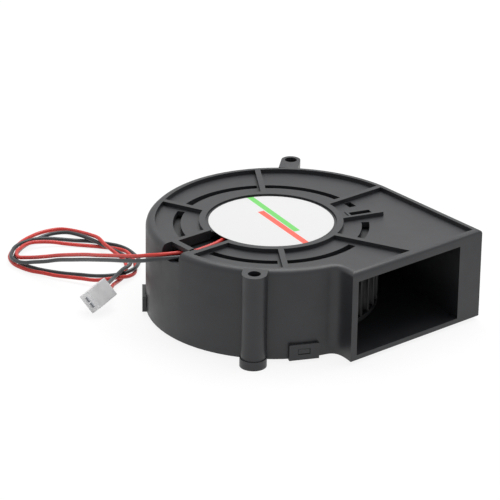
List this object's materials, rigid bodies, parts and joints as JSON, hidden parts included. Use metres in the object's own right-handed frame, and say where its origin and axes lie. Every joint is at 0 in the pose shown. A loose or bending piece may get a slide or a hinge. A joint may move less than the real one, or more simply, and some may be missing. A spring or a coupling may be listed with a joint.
{
  "type": "dc blower fan",
  "caption": "Square-bodied centrifugal blower: scroll housing with a clipped-on inlet cover, blade-ring impeller on an outer-rotor motor, side outlet and a two-wire lead with a small plug.",
  "frame": {"origin": "on the impeller's axis, in the plane of the inlet's rim and of the cover's ears, on which the blower stands", "axes": "+X the way the air leaves, +Y towards the straight side wall, +Z along the impeller's axis to the label side"},
  "size_m": [0.1551, 0.106, 0.0342],
  "materials": {
    "black_plastic": "fine satin grain",
    "impeller_plastic": "satin",
    "label_film": "smooth printed film",
    "brass": "turned",
    "electrical_steel": "stacked sheets",
    "zinc_steel": "zinc plated",
    "bearing_steel": "ground",
    "spring_steel": "drawn wire",
    "ferrite": "bonded magnet",
    "nylon": "moulded",
    "enamelled_copper": "enamelled winding",
    "board_laminate": "solder mask",
    "component_epoxy": "moulded epoxy",
    "capacitor_ceramic": "fired ceramic",
    "solder": "bright",
    "red_insulation": "soft vinyl",
    "black_insulation": "soft vinyl",
    "white_plastic": "natural nylon",
    "tinned_contact": "tinned"
  },
  "bodies": {
    "body": {"housing": "black_plastic", "inlet_cover": "black_plastic", "label": "label_film", "bearing_tube": "brass", "stator_core": "electrical_steel", "insulator_upper": "nylon", "insulator_lower": "nylon", "coil_1": "enamelled_copper", "coil_2": "enamelled_copper", "coil_3": "enamelled_copper", "coil_4": "enamelled_copper", "circuit_board": "board_laminate", "driver_chip": "component_epoxy", "hall_sensor": "component_epoxy", "chip_capacitors": "capacitor_ceramic", "solder_joints": "solder", "upper_bearing_outer": "bearing_steel", "upper_bearing_balls": "bearing_steel", "lower_bearing_outer": "bearing_steel", "lower_bearing_balls": "bearing_steel", "wire_red": "red_insulation", "wire_black": "black_insulation", "connector_housing": "white_plastic", "connector_terminals": "tinned_contact"},
    "rotor": {"impeller": "impeller_plastic", "rotor_yoke": "zinc_steel", "magnet_ring": "ferrite", "rotor_bushing": "brass", "shaft": "bearing_steel", "upper_bearing_inner": "bearing_steel", "lower_bearing_inner": "bearing_steel", "preload_spring": "spring_steel", "retaining_clip": "spring_steel"}
  },
  "joints": [
    {"name": "impeller_spin", "type": "hinge", "parent": "body", "child": "rotor", "pos_m": [0, 0, 0.0162], "axis": [0, 0, 1], "continuous": true}
  ]
}
